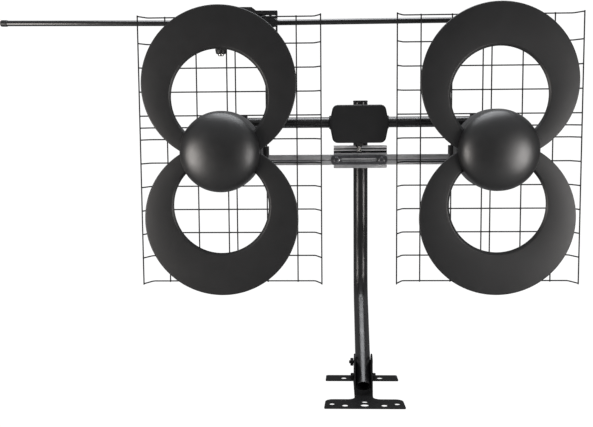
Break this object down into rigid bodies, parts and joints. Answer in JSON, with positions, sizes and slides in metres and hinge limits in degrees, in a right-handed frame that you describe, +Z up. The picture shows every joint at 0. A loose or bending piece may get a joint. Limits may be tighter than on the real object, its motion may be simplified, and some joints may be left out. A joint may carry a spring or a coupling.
{
  "type": "outdoor loop antenna",
  "caption": "Outdoor television antenna: tapered loop pairs in front of wire reflector screens, a side dipole, a boom with a combiner box, and a bent mast on a tilting foot.",
  "frame": {"origin": "on the underside of the foot plate, on its long centre line, 100 mm behind its front edge", "axes": "+Z up from the surface the foot is fixed to, -Y the way the antenna faces, +X to the right seen from the front"},
  "size_m": [1.1078, 0.2763, 0.7163],
  "materials": {
    "black_paint": "gloss black powder coat with a soft highlight",
    "screen_coating": "satin black coating on welded wire",
    "loop_coating": "matte charcoal, fine grain",
    "black_plastic": "satin moulded black",
    "zinc": "zinc plated, satin",
    "bright_zinc": "bright zinc plated",
    "nickel": "nickel plated, turned",
    "circuit_board": "green solder mask",
    "cable_jacket": "soft black jacket"
  },
  "bodies": {
    "foot": {"foot_plate": "black_paint", "pivot_bolt": "black_paint", "pivot_nut": "black_paint"},
    "mast": {"mast_tube": "black_paint", "mast_end_cap": "black_plastic", "lock_bolt": "black_paint", "lock_nut": "black_paint"},
    "head": {"balun_board_left": "circuit_board", "balun_board_right": "circuit_board", "bar_bolt_left": "zinc", "bar_bolt_right": "zinc", "boom_left": "black_paint", "boom_right": "black_paint", "box_screw_lower_left": "zinc", "box_screw_lower_right": "zinc", "box_screw_upper_left": "zinc", "box_screw_upper_right": "zinc", "bracket_screw_left_inner": "zinc", "bracket_screw_left_outer": "zinc", "bracket_screw_right_inner": "zinc", "bracket_screw_right_outer": "zinc", "clamp_bolt_left": "bright_zinc", "clamp_bolt_right": "bright_zinc", "clamp_channel": "bright_zinc", "clamp_nut_left": "zinc", "clamp_nut_right": "zinc", "clamp_rear_jaw": "bright_zinc", "clamp_strap": "bright_zinc", "coax_connector": "nickel", "combiner_board": "circuit_board", "combiner_front_shell": "black_plastic", "combiner_rear_shell": "black_plastic", "dipole_board": "circuit_board", "dipole_connector": "nickel", "dipole_cover": "black_plastic", "dipole_holder": "black_plastic", "dipole_rod_left": "black_paint", "dipole_rod_right": "black_paint", "feed_cable_left": "cable_jacket", "feed_cable_right": "cable_jacket", "hub_dome_left": "black_plastic", "hub_dome_right": "black_plastic", "hub_rear_housing_left": "black_plastic", "hub_rear_housing_right": "black_plastic", "hub_screw_left_inner": "zinc", "hub_screw_left_outer": "zinc", "hub_screw_right_inner": "zinc", "hub_screw_right_outer": "zinc", "lower_loop_left": "loop_coating", "lower_loop_right": "loop_coating", "rear_bracket_left": "black_plastic", "rear_bracket_right": "black_plastic", "reflector_screen_left": "screen_coating", "reflector_screen_right": "screen_coating", "rod_cap_left": "black_plastic", "rod_cap_right": "black_plastic", "support_bar": "zinc", "upper_loop_left": "loop_coating", "upper_loop_right": "loop_coating"}
  },
  "joints": [
    {"name": "mast_tilt", "type": "hinge", "parent": "foot", "child": "mast", "pos_m": [0, -0.002, 0.0295], "axis": [1, 0, 0], "range_deg": [-35, 55]},
    {"name": "head_azimuth", "type": "hinge", "parent": "mast", "child": "head", "pos_m": [0, 0.159, 0.4242], "axis": [0, 0, 1], "continuous": true}
  ]
}
